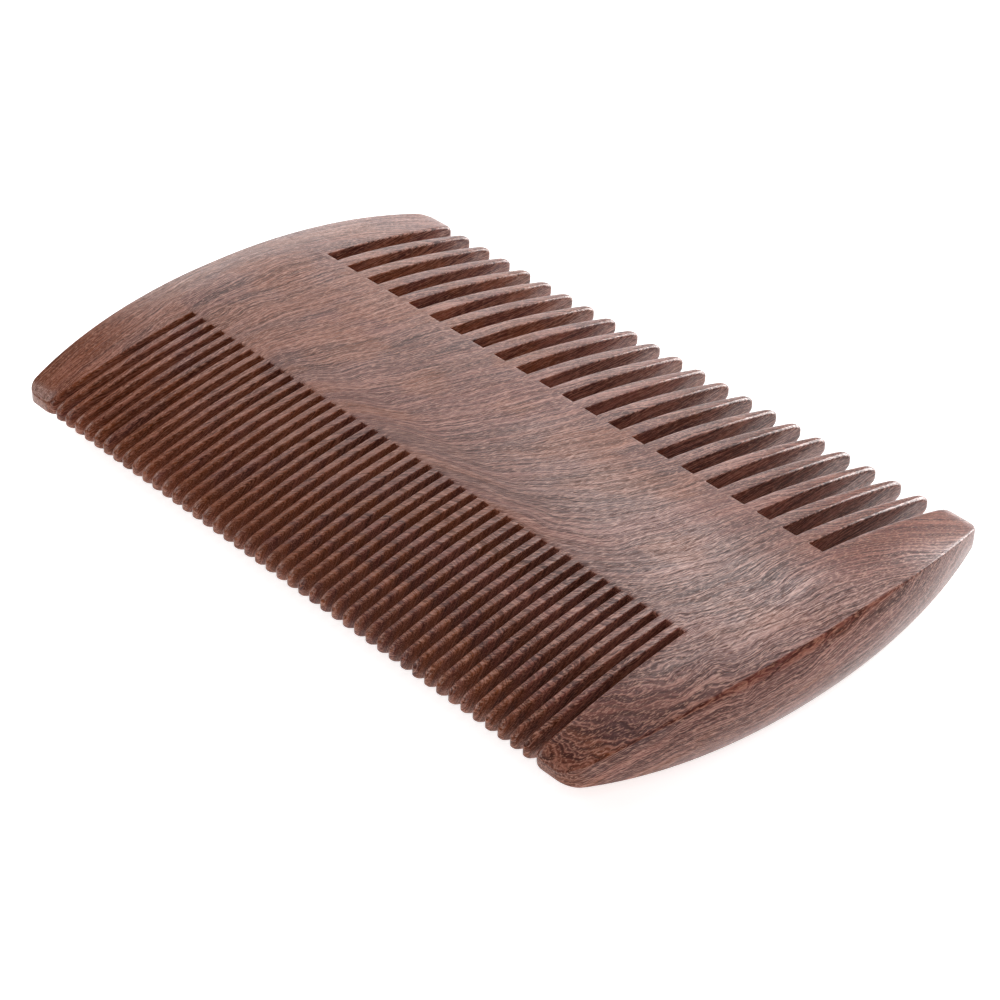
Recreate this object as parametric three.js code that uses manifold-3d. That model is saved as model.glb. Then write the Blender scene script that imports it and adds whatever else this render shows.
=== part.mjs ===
// Double-sided beard comb carved from one board of dark hardwood.
// Millimetres. X runs along the comb, Y from the fine teeth to the wide teeth, Z up.
// The origin is the middle of the flat band under the spine, where the comb rests.
//
// The board is one piece of wood. It is built here as regions that meet face to face:
// the spine, the two end guards, and the teeth that stand off the spine.
import * as THREE from 'three';
import Module from 'manifold-3d';
import { mergeVertices } from 'three/addons/utils/BufferGeometryUtils.js';

const wasm = await Module();
wasm.setup();
const { Manifold } = wasm;

// ---- driving dimensions -------------------------------------------------------------
const LENGTH = 102.6;        // overall, between the crowns of the two curved ends
const WIDTH = 63;            // fine tips to wide tips
const THICKNESS = 10.8;      // over the spine
const TIP_THICKNESS = 2.0;   // where the side profile starts to round over at the tips
const END_SAGITTA = 5.35;    // how far the curved ends bow out past their corners
const FLAT_BAND = 6.0;       // width of the flat along the middle of both faces
const SLOT_FLOOR = 10.5;     // distance of both rows of slot floors from the centre line

const FINE_TEETH = 44;
const FINE_PITCH = 1.85;
const FINE_SLOT = 0.84;
const WIDE_TEETH = 21;
const WIDE_SLOT = 1.9;
const WIDE_PER_NODE = 3;     // wide teeth that share one root strip, and so one node

const SIDE_POWER = 1.75;     // how full the side profile is between spine and tips
const END_DROP = 0.29;       // share of the thickness lost at the crown of each end
const END_SWELL = 3.2;       // how far a full-thickness end face would swell out at mid-height
const CORNER_RADIUS = 2.2;   // plan radius of the comb's four outer corners
const STRIP = 1.2;           // depth of the root strips behind the slot floors

// ---- sizes that follow --------------------------------------------------------------
const HALF_LENGTH = LENGTH / 2;
const HALF_WIDTH = WIDTH / 2;
const HALF_THICKNESS = THICKNESS / 2;
const TIP_HALF = TIP_THICKNESS / 2;
const HALF_BAND = FLAT_BAND / 2;
const GUARD_X = (FINE_TEETH * FINE_PITCH + FINE_SLOT) / 2;
const WIDE_PITCH = (2 * GUARD_X - WIDE_SLOT) / WIDE_TEETH;
const FINE_TOOTH = FINE_PITCH - FINE_SLOT;
const WIDE_TOOTH = WIDE_PITCH - WIDE_SLOT;
const FINE_TIP = 0.74 * FINE_TOOTH;
const WIDE_TIP = 0.66 * WIDE_TOOTH;
const TOOTH_LENGTH = HALF_WIDTH - SLOT_FLOOR;
const CORNER_X = HALF_LENGTH - END_SAGITTA;
const END_RADIUS = (HALF_WIDTH ** 2 + END_SAGITTA ** 2) / (2 * END_SAGITTA);

const PROFILE_STEPS = 6;     // facets of the side profile between the flat band and a tip
const NOSE_STEPS = 3;        // facets of the rounded nose at each tip
const END_STEPS = 14;        // facets of each curved end
const GUARD_STEPS = 3;       // lengthwise facets over the sloping part of each end guard
const OVERSHOOT = 2;         // how far a cutting solid runs past what it cuts

// ---- three.js geometry to manifold solid and back -----------------------------------
function toSolid(geometry) {
  const bare = geometry.clone();
  bare.deleteAttribute('normal');
  bare.deleteAttribute('uv');
  const merged = mergeVertices(bare, 1e-5);
  const mesh = new wasm.Mesh({
    numProp: 3,
    vertProperties: new Float32Array(merged.attributes.position.array),
    triVerts: new Uint32Array(merged.index.array),
  });
  return new Manifold(mesh);
}

function toGeometry(solid) {
  const mesh = solid.getMesh();
  const geometry = new THREE.BufferGeometry();
  geometry.setAttribute('position', new THREE.BufferAttribute(new Float32Array(mesh.vertProperties), 3));
  geometry.setIndex(new THREE.BufferAttribute(new Uint32Array(mesh.triVerts), 1));
  geometry.computeVertexNormals();
  return geometry;
}

// ---- outlines -----------------------------------------------------------------------
// Half the board's thickness at a distance from the centre line, before the nose.
function halfThickness(y) {
  const run = Math.max(0, Math.abs(y) - HALF_BAND) / (HALF_WIDTH - HALF_BAND);
  return TIP_HALF + (HALF_THICKNESS - TIP_HALF) * (1 - run ** SIDE_POWER);
}

// One quarter of the side profile, from the flat band out to the middle of the nose.
function quarterProfile() {
  const points = [];
  const noseStart = HALF_WIDTH - TIP_HALF;
  for (let i = 0; i <= PROFILE_STEPS; i += 1) {
    const y = HALF_BAND + ((noseStart - HALF_BAND) * i) / PROFILE_STEPS;
    points.push([y, halfThickness(y)]);
  }
  const noseHeight = halfThickness(noseStart);
  for (let i = 1; i <= NOSE_STEPS; i += 1) {
    const turn = (Math.PI / 2) * (i / NOSE_STEPS);
    points.push([noseStart + TIP_HALF * Math.sin(turn), noseHeight * Math.cos(turn)]);
  }
  return points;
}

// The whole lens-shaped side profile, anticlockwise, centred on its own middle.
function sideProfile() {
  const quarter = quarterProfile();
  const back = quarter.slice(0, -1).reverse();
  const points = [
    ...quarter.map(([y, z]) => [y, -z]),
    ...back,
    ...quarter.map(([y, z]) => [-y, z]),
    ...back.map(([y, z]) => [-y, -z]),
  ];
  return new THREE.Shape(points.map(([y, z]) => new THREE.Vector2(y, z)));
}

// X of the curved end at a distance from the centre line.
function endX(y) {
  return HALF_LENGTH - END_RADIUS + Math.sqrt(END_RADIUS ** 2 - y ** 2);
}

// Plan outline of the right end at mid-height, run past the tips on both sides.
function crownOutline() {
  const reach = HALF_WIDTH + END_SWELL + OVERSHOOT;
  const innerX = GUARD_X - END_SWELL - OVERSHOOT;
  const points = [];
  for (let i = 0; i <= END_STEPS; i += 1) {
    const y = -reach + (2 * reach * i) / END_STEPS;
    points.push([endX(y), y]);
  }
  points.push([innerX, reach]);
  points.push([innerX, -reach]);
  return new THREE.Shape(points.map(([x, y]) => new THREE.Vector2(x, y)));
}

// Plan outline that rounds the two outer corners, where the curved end meets the tips.
function cornerOutline() {
  const cornerY = HALF_WIDTH - CORNER_RADIUS;
  const cornerX = endX(cornerY);
  const centreX = cornerX - CORNER_RADIUS;
  const diagonal = CORNER_RADIUS * Math.SQRT1_2;
  const upper = [
    [HALF_LENGTH + OVERSHOOT, cornerY],
    [cornerX, cornerY],
    [centreX + diagonal, cornerY + diagonal],
    [centreX, HALF_WIDTH],
    [GUARD_X - OVERSHOOT, HALF_WIDTH],
  ];
  const lower = upper.map(([x, y]) => [x, -y]).reverse();
  const points = [...upper, ...lower];
  return new THREE.Shape(points.map(([x, y]) => new THREE.Vector2(x, y)));
}

// Plan outline of one tooth standing on the slot floor, with a slight taper and a round tip.
function toothOutline(rootWidth, tipWidth) {
  const tipRadius = tipWidth / 2;
  const shoulder = TOOTH_LENGTH - tipRadius;
  const right = [
    [rootWidth / 2, -STRIP / 2],
    [rootWidth / 2, TOOTH_LENGTH * 0.45],
    [tipRadius, shoulder],
    [tipRadius * Math.SQRT1_2, shoulder + tipRadius * Math.SQRT1_2],
  ];
  const left = right.map(([x, y]) => [-x, y]).reverse();
  const points = [...right, [0, TOOTH_LENGTH], ...left];
  return new THREE.Shape(points.map(([x, y]) => new THREE.Vector2(x, y)));
}

// ---- solids -------------------------------------------------------------------------
// The lens-shaped board from one X to another, thinned towards the crown of the end.
function board(fromX, toX, steps) {
  const geometry = new THREE.ExtrudeGeometry(sideProfile(), {
    depth: toX - fromX,
    steps,
    bevelEnabled: false,
  });
  const axes = new THREE.Matrix4().makeBasis(
    new THREE.Vector3(0, 1, 0),
    new THREE.Vector3(0, 0, 1),
    new THREE.Vector3(1, 0, 0),
  );
  geometry.applyMatrix4(axes);
  geometry.translate(fromX, 0, 0);
  const position = geometry.attributes.position;
  for (let i = 0; i < position.count; i += 1) {
    const run = Math.max(0, position.getX(i) - GUARD_X) / (HALF_LENGTH - GUARD_X);
    position.setZ(i, position.getZ(i) * (1 - END_DROP * run ** 2));
  }
  geometry.translate(0, 0, HALF_THICKNESS);
  return toSolid(geometry);
}

function block(sizeX, sizeY, centreX, centreY) {
  const geometry = new THREE.BoxGeometry(sizeX, sizeY, THICKNESS + 2 * OVERSHOOT);
  geometry.translate(centreX, centreY, HALF_THICKNESS);
  return toSolid(geometry);
}

// The right end's plan as a solid whose edge swells out at mid-height.
function crownMould() {
  const geometry = new THREE.ExtrudeGeometry(crownOutline(), {
    depth: 0.01,
    bevelEnabled: true,
    bevelThickness: HALF_THICKNESS,
    bevelSize: END_SWELL,
    bevelOffset: -END_SWELL,
    bevelSegments: 4,
  });
  geometry.translate(0, 0, HALF_THICKNESS);
  return toSolid(geometry);
}

function cornerMould() {
  const geometry = new THREE.ExtrudeGeometry(cornerOutline(), {
    depth: THICKNESS + 2 * OVERSHOOT,
    bevelEnabled: false,
  });
  geometry.translate(0, 0, -OVERSHOOT);
  return toSolid(geometry);
}

// The right end guard: everything outboard of the last slots, from fine tips to wide tips.
function endGuard() {
  const raw = board(GUARD_X, HALF_LENGTH + OVERSHOOT, GUARD_STEPS);
  return raw.intersect(crownMould()).intersect(cornerMould());
}

// A cutting prism for one tooth, at a place along the row, on the +Y or the -Y side.
function toothPrism(outline, x, side) {
  const geometry = new THREE.ExtrudeGeometry(outline, {
    depth: THICKNESS + 2 * OVERSHOOT,
    bevelEnabled: false,
  });
  geometry.translate(0, SLOT_FLOOR, -OVERSHOOT);
  if (side < 0) geometry.rotateZ(Math.PI);
  geometry.translate(x, 0, 0);
  return toSolid(geometry);
}

// Where the teeth of a row stand along X.
function toothCentres(count, pitch) {
  return Array.from({ length: count }, (_, i) => (i - (count - 1) / 2) * pitch);
}

// ---- assembly -----------------------------------------------------------------------
const comb = new THREE.Group();
comb.name = 'beard_comb';

function addPart(name, solid, colour) {
  const material = new THREE.MeshStandardMaterial({ color: colour, roughness: 0.5, metalness: 0 });
  material.name = 'sandalwood';
  const mesh = new THREE.Mesh(toGeometry(solid), material);
  mesh.name = name;
  comb.add(mesh);
}

const SPINE_COLOUR = 0x5e3f36;
const GUARD_COLOUR = 0x54362e;
const WIDE_COLOUR = 0x684a40;
const FINE_COLOUR = 0x4a2d24;

const middleBoard = board(-GUARD_X, GUARD_X, 1);

// Spine: the board between the guards, less the root strip of the wide teeth.
const spineTop = SLOT_FLOOR - STRIP;
const spineDepth = SLOT_FLOOR + spineTop;
const spine = middleBoard.intersect(
  block(2 * GUARD_X, spineDepth, 0, spineTop - spineDepth / 2),
);
addPart('spine', spine, SPINE_COLOUR);

const rightGuard = endGuard();
addPart('end_guard_right', rightGuard, GUARD_COLOUR);
addPart('end_guard_left', rightGuard.mirror([1, 0, 0]), GUARD_COLOUR);

// Fine teeth: each its own piece, standing on the spine's fine side.
const fineOutline = toothOutline(FINE_TOOTH, FINE_TIP);
const fineSide = block(2 * GUARD_X, TOOTH_LENGTH, 0, -SLOT_FLOOR - TOOTH_LENGTH / 2);
const fineBoard = middleBoard.intersect(fineSide);
toothCentres(FINE_TEETH, FINE_PITCH).forEach((x, i) => {
  const tooth = fineBoard.intersect(toothPrism(fineOutline, x, -1));
  addPart(`fine_tooth_${String(i + 1).padStart(2, '0')}`, tooth, FINE_COLOUR);
});

// Wide teeth: neighbours share a root strip that reaches to the middle of the slots beside them.
const wideOutline = toothOutline(WIDE_TOOTH, WIDE_TIP);
const wideBoard = middleBoard.intersect(
  block(2 * GUARD_X, TOOTH_LENGTH + STRIP, 0, spineTop + (TOOTH_LENGTH + STRIP) / 2),
);
const wideCentres = toothCentres(WIDE_TEETH, WIDE_PITCH);
for (let first = 0; first < WIDE_TEETH; first += WIDE_PER_NODE) {
  const centres = wideCentres.slice(first, first + WIDE_PER_NODE);
  const last = first + centres.length - 1;
  const fromX = first === 0 ? -GUARD_X : centres[0] - WIDE_PITCH / 2;
  const toX = last === WIDE_TEETH - 1 ? GUARD_X : centres[centres.length - 1] + WIDE_PITCH / 2;
  const strip = block(toX - fromX, STRIP, (fromX + toX) / 2, spineTop + STRIP / 2);
  const mould = centres.reduce((sum, x) => sum.add(toothPrism(wideOutline, x, 1)), strip);
  const name = `wide_teeth_${String(first + 1).padStart(2, '0')}_${String(last + 1).padStart(2, '0')}`;
  addPart(name, wideBoard.intersect(mould), WIDE_COLOUR);
}

export default comb;
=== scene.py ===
"""Double-sided beard comb in dark oiled hardwood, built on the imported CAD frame.

Metres, Z up. X runs along the comb, Y from the fine teeth to the wide teeth, and the comb
rests on Z = 0. The comb is one carved board. Each region of it (spine, end guards, teeth)
is its own mesh, and neighbours follow the same profile and share one grain, so that they
read as one piece of wood.
"""
import math

import bmesh
import bpy
import numpy as np
from mathutils import Matrix, Vector


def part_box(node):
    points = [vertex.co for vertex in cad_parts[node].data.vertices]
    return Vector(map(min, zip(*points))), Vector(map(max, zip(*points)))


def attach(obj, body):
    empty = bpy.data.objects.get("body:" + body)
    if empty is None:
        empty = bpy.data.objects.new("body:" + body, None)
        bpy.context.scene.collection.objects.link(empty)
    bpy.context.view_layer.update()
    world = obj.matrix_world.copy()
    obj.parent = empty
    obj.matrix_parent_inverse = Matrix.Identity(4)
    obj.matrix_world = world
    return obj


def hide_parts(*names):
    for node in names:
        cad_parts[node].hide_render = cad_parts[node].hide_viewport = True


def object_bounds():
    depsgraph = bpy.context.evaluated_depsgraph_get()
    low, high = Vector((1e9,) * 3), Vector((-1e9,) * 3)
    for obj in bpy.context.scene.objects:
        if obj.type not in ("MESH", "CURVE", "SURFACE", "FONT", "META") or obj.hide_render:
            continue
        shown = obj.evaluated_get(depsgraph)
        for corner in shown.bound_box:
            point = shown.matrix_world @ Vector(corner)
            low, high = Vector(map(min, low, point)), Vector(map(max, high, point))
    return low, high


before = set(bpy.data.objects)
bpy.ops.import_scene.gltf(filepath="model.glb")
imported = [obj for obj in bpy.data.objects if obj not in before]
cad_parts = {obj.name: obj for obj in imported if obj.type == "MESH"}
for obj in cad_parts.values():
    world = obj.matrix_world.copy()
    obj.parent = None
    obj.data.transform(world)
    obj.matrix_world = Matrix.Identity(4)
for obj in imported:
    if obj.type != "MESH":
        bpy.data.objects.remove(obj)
cad_low, cad_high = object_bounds()

# ---- sizes from the frame ---------------------------------------------------------------
MM = 0.001
HALF_LENGTH = cad_high.x
HALF_WIDTH = cad_high.y
HALF_THICKNESS = (cad_high.z - cad_low.z) / 2
MIDDLE_Z = (cad_high.z + cad_low.z) / 2

spine_low, spine_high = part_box("spine")
GUARD_X = spine_high.x
SLOT_FLOOR = -spine_low.y
STRIP = SLOT_FLOOR - spine_high.y
TOOTH_LENGTH = HALF_WIDTH - SLOT_FLOOR

FINE_NODES = sorted(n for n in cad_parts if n.startswith("fine_tooth_"))
WIDE_NODES = sorted(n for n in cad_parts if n.startswith("wide_teeth_"))
TEETH_PER_WIDE_NODE = 3


def middle_x(node):
    low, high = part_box(node)
    return (low.x + high.x) / 2


def width_x(node):
    low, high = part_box(node)
    return high.x - low.x


FINE_COUNT = len(FINE_NODES)
FINE_PITCH = (middle_x(FINE_NODES[-1]) - middle_x(FINE_NODES[0])) / (FINE_COUNT - 1)
FINE_TOOTH = width_x(FINE_NODES[0])
FINE_SLOT = FINE_PITCH - FINE_TOOTH
WIDE_COUNT = len(WIDE_NODES) * TEETH_PER_WIDE_NODE
WIDE_PITCH = width_x(WIDE_NODES[len(WIDE_NODES) // 2]) / TEETH_PER_WIDE_NODE
WIDE_SLOT = 2 * GUARD_X - WIDE_COUNT * WIDE_PITCH
WIDE_TOOTH = WIDE_PITCH - WIDE_SLOT

# ---- carving ----------------------------------------------------------------------------
HALF_BAND = 3.0 * MM         # half the flat along the middle of both faces
TIP_HALF = 1.0 * MM          # half thickness where the side profile meets the tips
SIDE_POWER = 1.75            # how full the side profile is between spine and tips
END_DROP = 0.29              # share of the thickness lost at the crown of each end
END_SAGITTA = 5.35 * MM      # how far the curved ends bow out past their corners
END_SWELL = 3.2 * MM         # how far a full-thickness end face would swell at mid-height
END_RADIUS = (HALF_WIDTH ** 2 + END_SAGITTA ** 2) / (2 * END_SAGITTA)
CREASE_EASE = 0.18 * MM      # how much of each face the crease along the ends eases off
CORNER_OUT = 1.7 * MM        # plan radius of the outer corners of an end guard
CORNER_IN = 0.8 * MM         # plan radius of its corners beside the teeth
TOOTH_NOSE_RUN = 1.6 * MM    # how far back from its tip a tooth starts to round off
TOOTH_NOSE_DROP = 0.64 * MM  # how much each face has come down at the tip
GUARD_NOSE_RUN = 2.4 * MM    # the same for the broad tips of the end guards
GUARD_NOSE_DROP = 0.46 * MM
SAWN_RIM = 0.15 * MM         # eased edge along the slots, at the slot floor
WORN_RIM = 0.6               # the same edge at the tips, as a share of a tooth's half width
WEAR_POWER = 2.0             # how late along the tooth that sanding sets in
RIM_LIMIT = 0.92             # the most of a tooth's half width or height its rim may take
EASE_LIMIT = 0.4             # the most of the end face's half height the crease may take
FINE_TIP = 0.84 * FINE_TOOTH
WIDE_TIP = 0.66 * WIDE_TOOTH
TAPER_POWER = 1.5            # how late along a tooth it narrows to its tip

# ---- how finely the meshes are drawn ----------------------------------------------------
RIM_STEPS = 4
NOSE_STEPS = 12
NOSE_TURN = 87               # degrees round the nose at its last section, just short of a point
BODY_STEPS = 20
CROWN_COLUMNS = 4
STRIP_COLUMNS = 3
SPINE_COLUMNS = 25
SPINE_ROWS = 41
GUARD_CORNER_ROWS = 17
GUARD_INNER_ROWS = 22
GUARD_OUTER_ROWS = 34
FACE_STEPS = 18
CREASE_STEPS = 6
CREASE_ROUNDS = 30
END_STEPS = 18
WELD = 1e-7
SHARP_ANGLE = math.radians(38)
TO_UNDERSIDE = np.array([1, 1, -1])


def lens_half(y):
    """Half the board's thickness at a distance from the centre line."""
    run = np.clip((np.abs(y) - HALF_BAND) / (HALF_WIDTH - HALF_BAND), 0, 1)
    return TIP_HALF + (HALF_THICKNESS - TIP_HALF) * (1 - run ** SIDE_POWER)


def round_drop(distance, radius):
    """How far a quarter-round edge lies below the face at a distance from the edge."""
    inside = np.clip(radius - distance, 0, radius)
    return radius - np.sqrt(radius ** 2 - inside ** 2)


def nose_drop(y, run, drop):
    """How far the rounding of the tips has brought a face down at one Y."""
    inside = np.clip(1 - (HALF_WIDTH - np.abs(y)) / run, 0, 1)
    return drop * (1 - np.sqrt(1 - inside ** 2))


def guard_half(x, y):
    """Half thickness of an end guard, which thins towards the bowed end and the tips."""
    run = np.clip((np.abs(x) - GUARD_X) / (HALF_LENGTH - GUARD_X), 0, 1)
    whole = lens_half(y) * (1 - END_DROP * run ** 2)
    return whole - nose_drop(y, GUARD_NOSE_RUN, GUARD_NOSE_DROP)


def end_x(y):
    """X of the bowed end at a distance from the centre line."""
    return HALF_LENGTH - END_RADIUS + np.sqrt(END_RADIUS ** 2 - y ** 2)


# ---- mesh building ----------------------------------------------------------------------
class Shell:
    """Collects patches of faces and welds them into one smooth mesh."""

    def __init__(self):
        self.points = []
        self.faces = []

    def grid(self, rows):
        rows = np.asarray(rows, float)
        count, width = rows.shape[:2]
        start = len(self.points)
        self.points.extend(map(tuple, rows.reshape(-1, 3)))
        for i in range(count - 1):
            for j in range(width - 1):
                a = start + i * width + j
                self.faces.append((a, a + 1, a + width + 1, a + width))

    def cap(self, loop):
        start = len(self.points)
        self.points.extend(map(tuple, loop))
        self.faces.append(tuple(range(start, len(self.points))))

    def both_faces(self, rows):
        """A patch of the top face and its mirror image underneath."""
        rows = np.asarray(rows, float)
        self.grid(rows)
        self.grid(rows * TO_UNDERSIDE)

    def finish(self, name, material, nodes, place=None):
        mesh = bpy.data.meshes.new(name)
        mesh.from_pydata(self.points, [], self.faces)
        work = bmesh.new()
        work.from_mesh(mesh)
        bmesh.ops.remove_doubles(work, verts=work.verts, dist=WELD)
        bmesh.ops.dissolve_degenerate(work, edges=work.edges, dist=WELD)
        bmesh.ops.recalc_face_normals(work, faces=work.faces)
        work.to_mesh(mesh)
        work.free()
        if place is not None:
            mesh.transform(place)
        mesh.transform(Matrix.Translation((0, 0, MIDDLE_Z)))
        mesh.shade_smooth()
        mesh.set_sharp_from_angle(angle=SHARP_ANGLE)
        mesh.materials.append(material)
        piece = bpy.data.objects.new(name, mesh)
        bpy.context.scene.collection.objects.link(piece)
        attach(piece, "root")
        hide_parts(*nodes)
        return piece


def mirrored_loop(edge):
    """The closed loop over an edge of the top face and back along its mirror image."""
    edge = np.asarray(edge, float)
    return [*edge, *(edge[::-1] * TO_UNDERSIDE)]


# ---- teeth ------------------------------------------------------------------------------
def rim_offsets(radius):
    """Distances from an edge that step evenly round its quarter-round."""
    turns = np.linspace(0, math.pi / 2, RIM_STEPS + 1)
    return radius * (1 - np.cos(turns))


def tooth_stations():
    """Distances from the slot floor where a tooth's section is drawn, closer at the tip."""
    shoulder = TOOTH_LENGTH - TOOTH_NOSE_RUN
    body = shoulder * np.linspace(0, 1, BODY_STEPS + 1)[:-1]
    turns = np.radians(np.linspace(0, NOSE_TURN, NOSE_STEPS + 1))
    return np.concatenate([body, shoulder + TOOTH_NOSE_RUN * np.sin(turns)])


def tooth_half_width(y, root_half, tip_half):
    """Half a tooth's width at a distance from the slot floor, round at the tip in plan."""
    shoulder = TOOTH_LENGTH - tip_half
    taper = root_half - (root_half - tip_half) * np.clip(y / shoulder, 0, 1) ** TAPER_POWER
    past = np.clip(y - shoulder, 0, tip_half)
    return taper * np.sqrt(1 - (past / tip_half) ** 2)


def rim_radius(y, half):
    """Radius of the eased edges of a tooth at a distance from the slot floor."""
    worn = max(WORN_RIM * half, SAWN_RIM)
    return SAWN_RIM + (worn - SAWN_RIM) * (y / TOOTH_LENGTH) ** WEAR_POWER


def section_columns(half, rim):
    """X of the columns across a tooth's top face: rim, middle, rim."""
    offsets = rim_offsets(rim)
    middle = np.linspace(-half + rim, half - rim, CROWN_COLUMNS)[1:-1]
    return np.concatenate([-half + offsets, middle, (half - offsets)[::-1]])


def tooth_section(y, root_half, tip_half):
    """Top edge of a tooth's section at a distance from the slot floor."""
    half = tooth_half_width(y, root_half, tip_half)
    across_slots = SLOT_FLOOR + y
    top = lens_half(across_slots) - nose_drop(across_slots, TOOTH_NOSE_RUN, TOOTH_NOSE_DROP)
    rim = min(rim_radius(y, root_half), RIM_LIMIT * half, RIM_LIMIT * top)
    x = section_columns(half, rim)
    z = top - round_drop(half - np.abs(x), rim)
    return np.stack([x, np.full_like(x, y), z], axis=1)


def tooth_cell(shell, centre, side, root_half, tip_half, left, right, open_left, open_right):
    """One tooth with its share of the root strip. left and right are the widths of strip
    beside it, and an open side joins the next tooth of the same piece."""

    def to_row(points):
        points = np.array(points, float)
        points[..., 0] += centre
        points[..., 1] = side * (SLOT_FLOOR + points[..., 1])
        return points

    core = section_columns(root_half, SAWN_RIM)
    across = np.concatenate([
        np.linspace(-root_half - left, -root_half, STRIP_COLUMNS)[:-1],
        core,
        np.linspace(root_half, root_half + right, STRIP_COLUMNS)[1:],
    ])
    back = np.array([-STRIP, -STRIP / 2])
    along = np.concatenate([back, -rim_offsets(SAWN_RIM)[::-1]])
    x, y = np.meshgrid(across, along)
    edge_distance = np.maximum(root_half - np.abs(x), -y)
    z = lens_half(SLOT_FLOOR + y) - round_drop(edge_distance, SAWN_RIM)
    root = np.stack([x, y, z], axis=2)
    tooth = np.array([tooth_section(s, root_half, tip_half) for s in tooth_stations()])
    shell.both_faces(to_row(root))
    shell.both_faces(to_row(tooth))
    for edge in (tooth[:, 0], tooth[:, -1], root[-1, :3], root[-1, -3:]):
        shell.grid(to_row([edge, edge * TO_UNDERSIDE]))
    shell.cap(to_row(mirrored_loop(tooth[-1])))
    shell.cap(to_row(mirrored_loop(root[0])))
    if not open_left:
        shell.cap(to_row(mirrored_loop(root[:, 0])))
    if not open_right:
        shell.cap(to_row(mirrored_loop(root[:, -1])))


def row_centres(count, pitch):
    """X of the teeth of a row, evenly spaced about the middle of the comb."""
    return [(i - (count - 1) / 2) * pitch for i in range(count)]


def tooth_row(nodes, per_node, pitch, slot, root_width, tip_width, side, material):
    """A whole row of teeth, one piece for each CAD node."""
    centres = row_centres(len(nodes) * per_node, pitch)
    last = len(centres) - 1
    for n, node in enumerate(nodes):
        shell = Shell()
        for k in range(per_node):
            i = n * per_node + k
            left = slot if i == 0 else slot / 2
            right = slot if i == last else slot / 2
            tooth_cell(shell, centres[i], side, root_width / 2, tip_width / 2, left, right,
                       open_left=k > 0, open_right=k < per_node - 1)
        shell.finish(node + "_wood", material, [node])


# ---- spine and end guards ---------------------------------------------------------------
def build_spine(material):
    """The thick middle, between the root strips of the two rows."""
    shell = Shell()
    reach = SLOT_FLOOR - STRIP
    columns = np.linspace(-GUARD_X, GUARD_X, SPINE_COLUMNS)
    x, y = np.meshgrid(columns, np.linspace(-reach, reach, SPINE_ROWS))
    top = np.stack([x, y, lens_half(y)], axis=2)
    shell.both_faces(top)
    for edge in (top[0], top[-1], top[:, 0], top[:, -1]):
        shell.grid([edge, edge * TO_UNDERSIDE])
    shell.finish("spine_wood", material, ["spine"])


def guard_stations():
    """Y of the sections of an end guard, closer at the slot floors and at the tips."""
    turns = np.linspace(0, math.pi / 2, GUARD_CORNER_ROWS)
    corner = max(CORNER_OUT, CORNER_IN, GUARD_NOSE_RUN)
    tip = HALF_WIDTH - corner + corner * np.sin(turns)
    floor = SLOT_FLOOR - rim_offsets(SAWN_RIM)[::-1]
    inner = np.linspace(0, floor[0], GUARD_INNER_ROWS)[:-1]
    outer = np.linspace(SLOT_FLOOR, tip[0], GUARD_OUTER_ROWS)[1:-1]
    half = np.concatenate([inner, floor, outer, tip])
    return np.concatenate([-half[:0:-1], half])


def end_face_x(outer, z):
    """X of the swollen end face at a height from the middle."""
    return outer - END_SWELL * (1 - np.sqrt(1 - (z / HALF_THICKNESS) ** 2))


def crease_x(outer, y):
    """X where the top face of a guard meets its end face."""
    x = outer
    for _ in range(CREASE_ROUNDS):
        x = (x + end_face_x(outer, guard_half(x, y))) / 2
    return x


def eased_crease(before, corner, after):
    """Points of a smooth bend from one face to the next, drawn towards their corner."""
    share = np.linspace(0, 1, CREASE_STEPS + 1)[1:-1, None]
    return before * (1 - share) ** 2 + corner * 2 * share * (1 - share) + after * share ** 2


def guard_section(y):
    """Top edge of the right guard's section at one Y, from the slot wall to the end."""
    from_tip = HALF_WIDTH - abs(y)
    inner = GUARD_X + round_drop(from_tip, CORNER_IN)
    outer = end_x(y) - round_drop(from_tip, CORNER_OUT)
    corner_x = crease_x(outer, y)
    corner = np.array([corner_x, guard_half(corner_x, y)])
    ease = min(CREASE_EASE, EASE_LIMIT * corner[1])
    worn_rim = rim_radius(max(abs(y) - SLOT_FLOOR, 0), WIDE_TOOTH / 2)
    rim = min(worn_rim, RIM_LIMIT * corner[1])
    flat = np.linspace(inner + rim, corner_x - ease, FACE_STEPS)[1:]
    face_x = np.concatenate([inner + rim_offsets(rim), flat])
    edge_distance = np.maximum(face_x - inner, SLOT_FLOOR - abs(y))
    face_z = guard_half(face_x, y) - round_drop(edge_distance, rim)
    face = np.stack([face_x, face_z], axis=1)
    end_z = (corner[1] - ease) * np.linspace(1, 0, END_STEPS)
    end = np.stack([end_face_x(outer, end_z), end_z], axis=1)
    section = np.concatenate([face, eased_crease(face[-1], corner, end[0]), end])
    return np.stack([section[:, 0], np.full(len(section), y), section[:, 1]], axis=1)


def build_guards(material):
    """The right guard as its own mesh, and the left one as the same turned half round."""
    shell = Shell()
    top = np.array([guard_section(y) for y in guard_stations()])
    shell.both_faces(top)
    shell.grid([top[:, 0], top[:, 0] * TO_UNDERSIDE])
    # Known flaw: each cap leaves out the lower corner beside the teeth, so a pinhole of about
    # 0.002 square millimetres stays open at both tips of each guard.
    shell.cap(mirrored_loop(top[0])[:-1])
    shell.cap(mirrored_loop(top[-1])[:-1])
    shell.finish("end_guard_right_wood", material, ["end_guard_right"])
    half_turn = Matrix.Rotation(math.pi, 4, "Z")
    shell.finish("end_guard_left_wood", material, ["end_guard_left"], half_turn)


# ---- wood -------------------------------------------------------------------------------
NOISE_MIDDLE = 0.5


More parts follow.
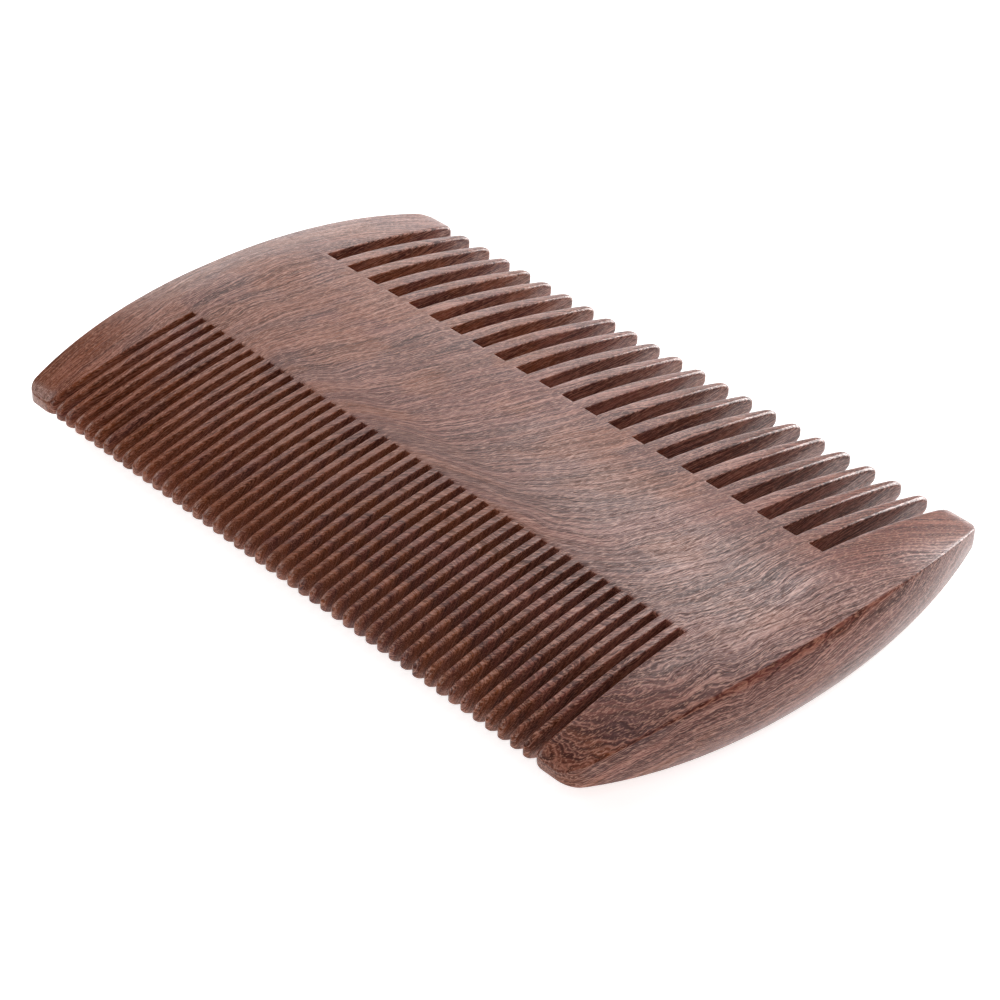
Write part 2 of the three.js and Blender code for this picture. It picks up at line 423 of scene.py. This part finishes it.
class Nodes:
    """Short calls for building a node tree."""

    def __init__(self, tree):
        self.tree = tree

    def put(self, socket, value):
        if isinstance(value, bpy.types.NodeSocket):
            self.tree.links.new(value, socket)
        else:
            socket.default_value = value

    def math(self, operation, a, b=0.0):
        node = self.tree.nodes.new("ShaderNodeMath")
        node.operation = operation
        self.put(node.inputs[0], a)
        self.put(node.inputs[1], b)
        return node.outputs[0]

    def add(self, *terms):
        total = terms[0]
        for term in terms[1:]:
            total = self.math("ADD", total, term)
        return total

    def times(self, a, b):
        return self.math("MULTIPLY", a, b)

    def split(self, vector):
        node = self.tree.nodes.new("ShaderNodeSeparateXYZ")
        self.put(node.inputs[0], vector)
        return node.outputs

    def join(self, x, y, z):
        node = self.tree.nodes.new("ShaderNodeCombineXYZ")
        for socket, value in zip(node.inputs, (x, y, z)):
            self.put(socket, value)
        return node.outputs[0]

    def noise(self, x, y, z, detail=2.0, roughness=0.5):
        """Noise between 0 and 1 at three coordinates, counted in its own feature sizes."""
        node = self.tree.nodes.new("ShaderNodeTexNoise")
        self.put(node.inputs["Vector"], self.join(x, y, z))
        node.inputs["Scale"].default_value = 1.0
        node.inputs["Detail"].default_value = detail
        node.inputs["Roughness"].default_value = roughness
        return node.outputs["Fac"]

    def ramp(self, value, low, high):
        """0 below low, 1 above high, smooth between."""
        node = self.tree.nodes.new("ShaderNodeMapRange")
        node.interpolation_type = "SMOOTHSTEP"
        self.put(node.inputs["Value"], value)
        node.inputs["From Min"].default_value = low
        node.inputs["From Max"].default_value = high
        return node.outputs["Result"]

    def swing(self, fac):
        """A noise value moved to swing about zero."""
        return self.add(fac, -NOISE_MIDDLE)

    def wander(self, x, y, z, scale):
        """Noise about zero, with its features per millimetre along each axis."""
        across, along, through = scale
        fac = self.noise(self.times(x, across), self.times(y, along), self.times(z, through))
        return self.swing(fac)

    def hump(self, value, middle, spread):
        """1 at the middle, falling away smoothly on both sides."""
        off_middle = self.times(self.add(value, -middle), 1 / spread)
        return self.math("EXPONENT", self.times(self.times(off_middle, off_middle), -1.0))

    def blend(self, share, a, b):
        node = self.tree.nodes.new("ShaderNodeMix")
        node.data_type = "RGBA"
        self.put(node.inputs["Factor"], share)
        self.put(node.inputs["A"], a)
        self.put(node.inputs["B"], b)
        return node.outputs["Result"]

    def glaze(self, base, mask, strength, tint):
        """Lays a tint over a colour where a mask is, at a strength."""
        return self.blend(self.times(mask, strength), base, tint)


def colour(red, green, blue):
    """Linear RGBA from 0 to 255 screen values."""
    def linear(value):
        share = value / 255
        if share <= 0.04045:
            return share / 12.92
        return ((share + 0.055) / 1.055) ** 2.4
    return (linear(red), linear(green), linear(blue), 1.0)


# The growth sheets of the wood, in millimetres: they run along the teeth, dip through the
# board, and sweep round in a curl that grows towards the fine teeth and folds over sharply
# beside the slot floors of the middle fine teeth. They sway slowly from side to side and
# ripple quickly, and the ripple grows with the curl. The two scales are features in a
# millimetre along X, Y and Z.
CURL_START_Y = 10.0
CURL_RUN = 20.0
CURL_POWER = 2.2
CURL_SWEEP = 11.0
CURL_X = 8.0
CURL_SPREAD = 30.0
FOLD_Y = -8.0
FOLD_RUN = 2.4
FOLD_SWEEP = 10.0
FOLD_X = 0.0
FOLD_SPREAD = 17.0
SHEET_DIP = 1.3
SWAY = 5.0
SWAY_SCALE = (0.06, 0.05, 0.08)
RIPPLE = 0.35
RIPPLE_GROWTH = 1.7
RIPPLE_SCALE = (0.3, 0.2, 0.1)

# Each grain is noise drawn out along the teeth. Its numbers are the features it has in a
# millimetre across the sheets, along the teeth and through the board, then how many finer
# layers it carries and how strong they are.
GRAINS = {
    "ribbons": (0.2, 0.04, 0.04, 2.0, 0.5),
    "rings": (0.9, 0.04, 0.06, 2.0, 0.6),
    "streaks": (3.2, 0.045, 0.1, 2.0, 0.7),
    "lines": (7.5, 0.1, 0.3, 1.0, 0.6),
    "fibres": (9.0, 1.1, 9.0, 1.0, 0.6),
    "vessels": (6.5, 0.7, 6.5, 1.0, 0.5),
    "warmth": (0.14, 0.1, 0.12, 2.0, 0.5),
    "cool": (0.25, 0.09, 0.2, 1.0, 0.5),
}
SHORT_GRAINS = ("fibres", "vessels")
SHORT_GRAIN_STRAIGHTNESS = 0.6  # the share of X in their sideways place, the rest the sheets
PORE_RANGE = (0.58, 0.66)
RIBBON_RANGE = (0.38, 0.62)

# Which grain is tinted, the value where the tint starts, the value where it is full, its
# strength and its colour, laid one over the other.
WOOD_LIGHT = (118, 62, 53)
WOOD_DARK = (91, 45, 37)
TINTS = (
    ("rings", 0.5, 0.38, 0.3, (62, 27, 19)),
    ("rings", 0.5, 0.62, 0.25, (146, 86, 64)),
    ("warmth", 0.46, 0.6, 0.6, (138, 72, 30)),
    ("cool", 0.56, 0.68, 0.35, (92, 60, 62)),
    ("streaks", 0.5, 0.38, 0.3, (54, 23, 16)),
    ("streaks", 0.52, 0.64, 0.35, (158, 101, 84)),
    ("lines", 0.5, 0.38, 0.6, (54, 22, 15)),
    ("lines", 0.52, 0.64, 0.65, (168, 110, 92)),
    ("fibres", 0.54, 0.66, 0.6, (180, 126, 104)),
    ("fibres", 0.46, 0.34, 0.36, (50, 20, 14)),
    ("vessels", *PORE_RANGE, 0.38, (42, 16, 10)),
)
# Painted sheen, in part: the board is coloured more mauve towards the wide teeth and the right
# end, where the sheen falls. It is warmer orange-brown towards the fine teeth and the left end,
# where there is less sheen. The warmer left is partly the wood's own tone.
WARMTH_AND_SHEEN_DRIFT = 0.0026          # per millimetre, warmer towards the fine teeth and left end, more mauve (painted sheen) towards the wide teeth and right end
ROUGHNESS = 0.24
ROUGHNESS_IN_GRAIN = 0.14
SPECULAR_LEVEL = 0.18
OIL_ROUGHNESS = 0.2
OIL_WEIGHT = 0.45
OIL_IN_STREAKS = 1.1
OIL_IN_LINES = 1.4
OIL_IN_FIBRES = 1.4
BUMP_STRENGTH = 0.35
BUMP_DEPTH = 0.04 * MM
VESSEL_DEPTH = 0.7


def growth_sheets(n, x, y, z):
    """How far sideways a point lies in the stack of growth sheets."""
    along = n.times(n.math("MAXIMUM", n.math("SUBTRACT", CURL_START_Y, y), 0.0), 1 / CURL_RUN)
    curl = n.times(n.math("POWER", along, CURL_POWER), n.hump(x, CURL_X, CURL_SPREAD))
    fold = n.times(n.ramp(y, FOLD_Y + FOLD_RUN, FOLD_Y - FOLD_RUN), n.hump(x, FOLD_X, FOLD_SPREAD))
    slow = n.wander(x, y, z, SWAY_SCALE)
    quick = n.wander(x, y, z, RIPPLE_SCALE)
    ripple = n.times(quick, n.add(RIPPLE, n.times(n.math("MINIMUM", along, 1.0), RIPPLE_GROWTH)))
    return n.add(x, n.times(curl, CURL_SWEEP), n.times(fold, FOLD_SWEEP), n.times(z, SHEET_DIP),
                 n.times(slow, SWAY), ripple)


def wood_material():
    material = bpy.data.materials.new("sandalwood")
    material.use_nodes = True
    tree = material.node_tree
    shader = tree.nodes["Principled BSDF"]
    n = Nodes(tree)
    place = tree.nodes.new("ShaderNodeTexCoord").outputs["Object"]
    x, y, z = (n.times(part, 1 / MM) for part in n.split(place))
    sheet = growth_sheets(n, x, y, z)
    straight = n.times(x, SHORT_GRAIN_STRAIGHTNESS)
    fibre_x = n.add(straight, n.times(sheet, 1 - SHORT_GRAIN_STRAIGHTNESS))

    grain = {}
    for name, (across, along, through, detail, roughness) in GRAINS.items():
        sideways = fibre_x if name in SHORT_GRAINS else sheet
        grain[name] = n.noise(n.times(sideways, across), n.times(y, along),
                              n.times(z, through), detail, roughness)

    # Painted sheen, in part: the warmth falls off towards the wide teeth and the right end,
    # leaving the mauve tone of the sheen there.
    tone_and_sheen_shift = n.times(n.add(x, y), -WARMTH_AND_SHEEN_DRIFT)
    grain["warmth"] = n.add(grain["warmth"], tone_and_sheen_shift)

    ribbons = n.ramp(grain["ribbons"], *RIBBON_RANGE)
    shade = n.blend(ribbons, colour(*WOOD_DARK), colour(*WOOD_LIGHT))
    for name, start, full, strength, tint in TINTS:
        shade = n.glaze(shade, n.ramp(grain[name], start, full), strength, colour(*tint))
    n.put(shader.inputs["Base Color"], shade)

    fibres = grain["fibres"]
    n.put(shader.inputs["Roughness"], n.add(ROUGHNESS, n.times(fibres, ROUGHNESS_IN_GRAIN)))
    pores = n.ramp(grain["vessels"], *PORE_RANGE)
    oil = n.add(
        OIL_WEIGHT,
        n.times(n.swing(grain["streaks"]), OIL_IN_STREAKS),
        n.times(n.swing(grain["lines"]), OIL_IN_LINES),
        n.times(n.swing(fibres), OIL_IN_FIBRES),
        n.times(pores, -OIL_WEIGHT),
    )
    n.put(shader.inputs["Coat Weight"], n.math("MAXIMUM", oil, 0.0))
    shader.inputs["Coat Roughness"].default_value = OIL_ROUGHNESS
    shader.inputs["Specular IOR Level"].default_value = SPECULAR_LEVEL
    bump = tree.nodes.new("ShaderNodeBump")
    bump.inputs["Strength"].default_value = BUMP_STRENGTH
    bump.inputs["Distance"].default_value = BUMP_DEPTH
    n.put(bump.inputs["Height"], n.add(fibres, grain["lines"], n.times(pores, -VESSEL_DEPTH)))
    n.put(shader.inputs["Normal"], bump.outputs["Normal"])
    return material


# ---- stage, light and camera ------------------------------------------------------------
FLOOR_REACH = 3.0
FLOOR_GAP = 0.02 * MM        # how far under the comb it lies, so the two never coincide
FLOOR_COLOUR = (245, 245, 245)
FLOOR_ROUGHNESS = 0.6
WHITE = (1.0, 1.0, 1.0, 1.0)
FLOOR_GLOW = 0.7             # the floor is a lit table, so that shadows on it stay faint
WORLD_LIGHT = 0.02
SOFTBOX_DISTANCE = 0.9
SOFTBOX_WIDTH = 0.6
SOFTBOX_HEIGHT = 0.45
# Name, azimuth in degrees from X towards Y, elevation in degrees, power in watts.
SOFTBOXES = (
    ("front_softbox", -50, 40, 3.0),
    ("back_low_softbox", 90, 15, 8.8),
    ("back_high_softbox", 112, 50, 2.8),
    ("left_low_softbox", 140, 15, 1.4),
    ("left_high_softbox", 140, 45, 1.4),
    ("far_left_softbox", 205, 35, 2.3),
)


def build_floor():
    material = bpy.data.materials.new("floor")
    material.use_nodes = True
    shader = material.node_tree.nodes["Principled BSDF"]
    shader.inputs["Base Color"].default_value = colour(*FLOOR_COLOUR)
    shader.inputs["Roughness"].default_value = FLOOR_ROUGHNESS
    shader.inputs["Emission Color"].default_value = WHITE
    shader.inputs["Emission Strength"].default_value = FLOOR_GLOW
    mesh = bpy.data.meshes.new("floor")
    corners = [(x * FLOOR_REACH, y * FLOOR_REACH, -FLOOR_GAP)
               for x, y in ((-1, -1), (1, -1), (1, 1), (-1, 1))]
    mesh.from_pydata(corners, [], [(0, 1, 2, 3)])
    mesh.materials.append(material)
    floor = bpy.data.objects.new("floor", mesh)
    bpy.context.scene.collection.objects.link(floor)


def build_light():
    world = bpy.data.worlds.new("studio")
    world.use_nodes = True
    background = world.node_tree.nodes["Background"]
    background.inputs["Color"].default_value = WHITE
    background.inputs["Strength"].default_value = WORLD_LIGHT
    bpy.context.scene.world = world
    for name, azimuth, elevation, power in SOFTBOXES:
        add_softbox(name, azimuth, elevation, power)


def add_softbox(name, azimuth, elevation, power):
    """A soft panel facing the comb from one direction."""
    data = bpy.data.lights.new(name, "AREA")
    data.shape = "RECTANGLE"
    data.size = SOFTBOX_WIDTH
    data.size_y = SOFTBOX_HEIGHT
    data.energy = power
    turn = math.radians(azimuth)
    rise = math.radians(elevation)
    place = SOFTBOX_DISTANCE * Vector((
        math.cos(turn) * math.cos(rise),
        math.sin(turn) * math.cos(rise),
        math.sin(rise),
    ))
    light = bpy.data.objects.new(name, data)
    light.location = place
    light.rotation_mode = "QUATERNION"
    light.rotation_quaternion = place.to_track_quat("Z", "Y")
    bpy.context.scene.collection.objects.link(light)


CAMERA_AZIMUTH = math.radians(46.7)
CAMERA_ELEVATION = math.radians(35.5)
CAMERA_ROLL = math.radians(1.23)
CAMERA_DISTANCE = 303.8 * MM
CAMERA_AIM = Vector((6.6 * MM, -4.2 * MM, MIDDLE_Z))
CAMERA_LENS = 97.9           # millimetres, for the sensor width below
SENSOR_WIDTH = 36
NEAREST = 0.01
FARTHEST = 10


def build_camera():
    data = bpy.data.cameras.new("camera")
    data.lens = CAMERA_LENS
    data.sensor_width = SENSOR_WIDTH
    data.clip_start = NEAREST
    data.clip_end = FARTHEST
    camera = bpy.data.objects.new("camera", data)
    level = math.cos(CAMERA_ELEVATION)
    back = Vector((
        math.sin(CAMERA_AZIMUTH) * level,
        -math.cos(CAMERA_AZIMUTH) * level,
        math.sin(CAMERA_ELEVATION),
    ))
    right = Vector((0, 0, 1)).cross(back).normalized()
    up = back.cross(right)
    tilted_right = right * math.cos(CAMERA_ROLL) + up * math.sin(CAMERA_ROLL)
    tilted_up = back.cross(tilted_right)
    turn = Matrix((tilted_right, tilted_up, back)).transposed()
    camera.matrix_world = Matrix.Translation(CAMERA_AIM + back * CAMERA_DISTANCE) @ turn.to_4x4()
    bpy.context.scene.collection.objects.link(camera)
    bpy.context.scene.camera = camera


wood = wood_material()
build_spine(wood)
build_guards(wood)
tooth_row(FINE_NODES, 1, FINE_PITCH, FINE_SLOT, FINE_TOOTH, FINE_TIP, -1, wood)
tooth_row(WIDE_NODES, TEETH_PER_WIDE_NODE, WIDE_PITCH, WIDE_SLOT, WIDE_TOOTH, WIDE_TIP, 1, wood)
build_floor()
build_light()
build_camera()
bpy.context.scene.view_settings.view_transform = "Standard"
